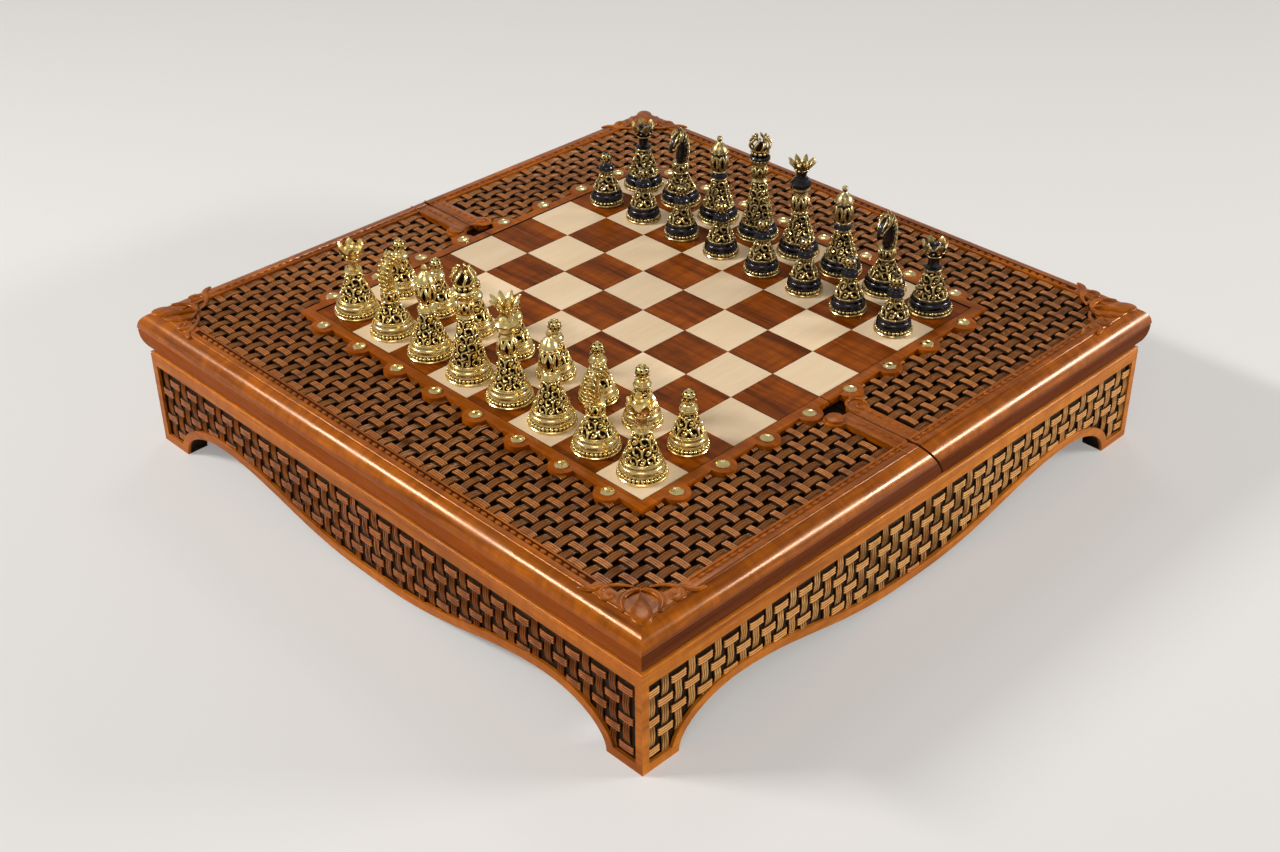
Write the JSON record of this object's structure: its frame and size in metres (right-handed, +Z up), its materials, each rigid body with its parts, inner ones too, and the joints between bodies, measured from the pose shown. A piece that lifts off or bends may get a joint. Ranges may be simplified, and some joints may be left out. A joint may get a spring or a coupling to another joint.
{
  "type": "chess box",
  "caption": "Square carved wooden chess box on bracket feet: the board top draws apart in halves over a lined storage well, with openwork metal chessmen set out on it.",
  "frame": {"origin": "on the floor, under the middle of the board", "axes": "+X to the white player's right, +Y from the white player towards the black player, +Z up"},
  "size_m": [0.562, 0.562, 0.2085],
  "materials": {
    "rim_wood": "varnished, glossy",
    "base_wood": "varnished, satin",
    "weave_wood": "carved, stained and varnished",
    "light_wood": "varnished, satin",
    "dark_wood": "varnished, satin",
    "band_wood": "varnished, satin",
    "inner_wood": "planed, matt",
    "lining_felt": "wool felt",
    "stud_brass": "faceted, polished",
    "gilt_brass": "polished",
    "black_brass": "black patina with polished edges"
  },
  "bodies": {
    "base": {"front_apron": "base_wood", "rear_apron": "base_wood", "left_apron": "base_wood", "right_apron": "base_wood", "corner_blocks": "inner_wood", "bottom_panel": "inner_wood", "well_lining": "lining_felt", "cross_dividers": "inner_wood", "long_dividers": "inner_wood", "guide_rails": "inner_wood"},
    "front_half": {"front_outer_rail": "rim_wood", "front_left_rail": "rim_wood", "front_right_rail": "rim_wood", "front_seam_rail": "rim_wood", "front_substrate": "inner_wood", "front_weave_panel": "weave_wood", "front_light_squares": "light_wood", "front_dark_squares": "dark_wood", "front_board_band": "band_wood", "front_studs": "stud_brass", "front_runners": "inner_wood", "white_pawns": "gilt_brass", "white_rooks": "gilt_brass", "white_knights": "gilt_brass", "white_bishops": "gilt_brass", "white_queen": "gilt_brass", "white_king": "gilt_brass"},
    "rear_half": {"rear_outer_rail": "rim_wood", "rear_left_rail": "rim_wood", "rear_right_rail": "rim_wood", "rear_seam_rail": "rim_wood", "rear_substrate": "inner_wood", "rear_weave_panel": "weave_wood", "rear_light_squares": "light_wood", "rear_dark_squares": "dark_wood", "rear_board_band": "band_wood", "rear_studs": "stud_brass", "rear_runners": "inner_wood", "black_pawns": "black_brass", "black_rooks": "black_brass", "black_knights": "black_brass", "black_bishops": "black_brass", "black_queen": "black_brass", "black_king": "black_brass"}
  },
  "joints": [
    {"name": "front_half_slide", "type": "slide", "parent": "base", "child": "front_half", "axis": [0, -1, 0], "range_m": [0, 0.12]},
    {"name": "rear_half_slide", "type": "slide", "parent": "base", "child": "rear_half", "axis": [0, 1, 0], "range_m": [0, 0.12]}
  ]
}
